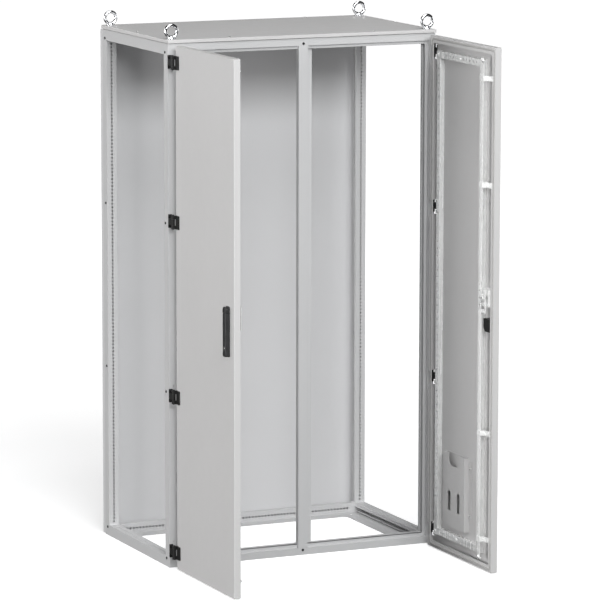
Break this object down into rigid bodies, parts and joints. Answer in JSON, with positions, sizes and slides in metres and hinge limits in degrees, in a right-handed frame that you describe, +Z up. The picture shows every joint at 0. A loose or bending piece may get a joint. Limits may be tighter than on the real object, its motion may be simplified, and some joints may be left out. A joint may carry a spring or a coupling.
{
  "type": "switchboard cabinet",
  "caption": "Floor-standing steel switchboard cabinet: perforated frame, rear panel, roof, centre mullion and two open doors with swing handles and rod locks.",
  "frame": {"origin": "centre of the frame's base on the floor, which is the centre of the four foundation bolt holes", "axes": "+X to the right seen from the front, +Y towards the rear panel, +Z up"},
  "size_m": [1.009, 1.1594, 1.8665],
  "materials": {
    "frame_paint": "fine-textured light grey powder coat",
    "door_paint": "fine-textured light grey powder coat",
    "roof_paint": "fine-textured light grey powder coat",
    "rear_panel_paint": "fine-textured light grey powder coat",
    "pocket_paint": "light grey powder coat",
    "zinc_steel": "bright zinc plating",
    "zinc_screws": "zinc plated",
    "roller_steel": "turned steel",
    "chrome": "polished chrome plating",
    "hinge_black": "black powder-coated die casting",
    "handle_black": "fine-grained black moulded plastic",
    "lock_black": "black moulded plastic",
    "black_screws": "blackened steel",
    "gasket_foam": "light grey foamed polyurethane"
  },
  "bodies": {
    "frame": {"post_front_left": "frame_paint", "post_front_right": "frame_paint", "post_rear_left": "frame_paint", "post_rear_right": "frame_paint", "top_rail_front": "frame_paint", "top_rail_rear": "frame_paint", "top_rail_left": "frame_paint", "top_rail_right": "frame_paint", "base_rail_front": "frame_paint", "base_rail_rear": "frame_paint", "base_rail_left": "frame_paint", "base_rail_right": "frame_paint", "floor_ring": "frame_paint", "centre_mullion": "frame_paint", "frame_screws": "black_screws", "rear_panel": "rear_panel_paint", "rear_panel_gasket": "gasket_foam", "roof_panel": "roof_paint", "roof_gasket": "gasket_foam", "cover_screws": "zinc_screws", "lifting_eyebolts": "chrome", "frame_hinge_leaves": "hinge_black", "hinge_pins": "hinge_black", "hinge_screws": "black_screws"},
    "left_door": {"left_door_panel": "door_paint", "left_door_gasket": "gasket_foam", "left_stiffener_tubes": "zinc_steel", "left_stiffener_corners": "zinc_steel", "left_door_hinge_leaves": "hinge_black", "left_lock_case": "zinc_steel", "left_cylinder_housing": "lock_black", "left_rod_guides": "zinc_steel", "left_handle_base": "handle_black"},
    "left_spindle": {"left_handle_spindle": "handle_black", "left_lock_pinion": "lock_black"},
    "left_lever": {"left_handle_lever": "handle_black"},
    "left_key": {"left_key_insert": "zinc_screws"},
    "left_upper_bar": {"left_upper_rod": "zinc_steel"},
    "left_lower_bar": {"left_lower_rod": "zinc_steel"},
    "left_upper_wheel": {"left_upper_roller": "roller_steel"},
    "left_lower_wheel": {"left_lower_roller": "roller_steel"},
    "right_door": {"right_door_panel": "door_paint", "right_door_gasket": "gasket_foam", "right_stiffener_tubes": "zinc_steel", "right_stiffener_corners": "zinc_steel", "right_door_hinge_leaves": "hinge_black", "right_lock_case": "zinc_steel", "right_cylinder_housing": "lock_black", "right_rod_guides": "zinc_steel", "right_handle_base": "handle_black", "document_pocket": "pocket_paint", "document_pocket_screws": "zinc_screws"},
    "right_spindle": {"right_handle_spindle": "handle_black", "right_lock_pinion": "lock_black"},
    "right_lever": {"right_handle_lever": "handle_black"},
    "right_key": {"right_key_insert": "zinc_screws"},
    "right_upper_bar": {"right_upper_rod": "zinc_steel"},
    "right_lower_bar": {"right_lower_rod": "zinc_steel"},
    "right_upper_wheel": {"right_upper_roller": "roller_steel"},
    "right_lower_wheel": {"right_lower_roller": "roller_steel"}
  },
  "joints": [
    {"name": "left_door_hinge", "type": "hinge", "parent": "frame", "child": "left_door", "pos_m": [-0.498, -0.336, 0.9], "axis": [0, 0, 1], "range_deg": [-40, 90]},
    {"name": "left_handle_turn", "type": "hinge", "parent": "left_door", "child": "left_spindle", "pos_m": [-0.487, -0.783, 0.946], "axis": [1, 0, 0], "range_deg": [0, 90]},
    {"name": "left_lever_lift", "type": "hinge", "parent": "left_spindle", "child": "left_lever", "pos_m": [-0.4982, -0.783, 0.966], "axis": [0, 1, 0], "range_deg": [0, 25]},
    {"name": "left_key_turn", "type": "hinge", "parent": "left_lever", "child": "left_key", "pos_m": [-0.498, -0.783, 0.839], "axis": [1, 0, 0], "range_deg": [0, 90]},
    {"name": "left_upper_rod_slide", "type": "slide", "parent": "left_door", "child": "left_upper_bar", "axis": [0, 0, 1], "range_m": [0, 0.0189]},
    {"name": "left_lower_rod_slide", "type": "slide", "parent": "left_door", "child": "left_lower_bar", "axis": [0, 0, -1], "range_m": [0, 0.0189]},
    {"name": "left_upper_roller_spin", "type": "hinge", "parent": "left_upper_bar", "child": "left_upper_wheel", "pos_m": [-0.4454, -0.7786, 1.7511], "axis": [0, 1, 0], "continuous": true},
    {"name": "left_lower_roller_spin", "type": "hinge", "parent": "left_lower_bar", "child": "left_lower_wheel", "pos_m": [-0.4454, -0.7786, 0.0489], "axis": [0, 1, 0], "continuous": true},
    {"name": "right_door_hinge", "type": "hinge", "parent": "frame", "child": "right_door", "pos_m": [0.498, -0.336, 0.9], "axis": [0, 0, -1], "range_deg": [-40, 90]},
    {"name": "right_handle_turn", "type": "hinge", "parent": "right_door", "child": "right_spindle", "pos_m": [0.487, -0.783, 0.946], "axis": [1, 0, 0], "range_deg": [0, 90]},
    {"name": "right_lever_lift", "type": "hinge", "parent": "right_spindle", "child": "right_lever", "pos_m": [0.4982, -0.783, 0.966], "axis": [0, -1, 0], "range_deg": [0, 25]},
    {"name": "right_key_turn", "type": "hinge", "parent": "right_lever", "child": "right_key", "pos_m": [0.498, -0.783, 0.839], "axis": [1, 0, 0], "range_deg": [0, 90]},
    {"name": "right_upper_rod_slide", "type": "slide", "parent": "right_door", "child": "right_upper_bar", "axis": [0, 0, 1], "range_m": [0, 0.0189]},
    {"name": "right_lower_rod_slide", "type": "slide", "parent": "right_door", "child": "right_lower_bar", "axis": [0, 0, -1], "range_m": [0, 0.0189]},
    {"name": "right_upper_roller_spin", "type": "hinge", "parent": "right_upper_bar", "child": "right_upper_wheel", "pos_m": [0.4454, -0.7786, 1.7511], "axis": [0, 1, 0], "continuous": true},
    {"name": "right_lower_roller_spin", "type": "hinge", "parent": "right_lower_bar", "child": "right_lower_wheel", "pos_m": [0.4454, -0.7786, 0.0489], "axis": [0, 1, 0], "continuous": true}
  ],
  "couplings": [
    {"joint": "left_upper_rod_slide", "follows": "left_handle_turn", "m_per_rad": 0.012},
    {"joint": "left_lower_rod_slide", "follows": "left_handle_turn", "m_per_rad": 0.012},
    {"joint": "right_upper_rod_slide", "follows": "right_handle_turn", "m_per_rad": 0.012},
    {"joint": "right_lower_rod_slide", "follows": "right_handle_turn", "m_per_rad": 0.012}
  ]
}
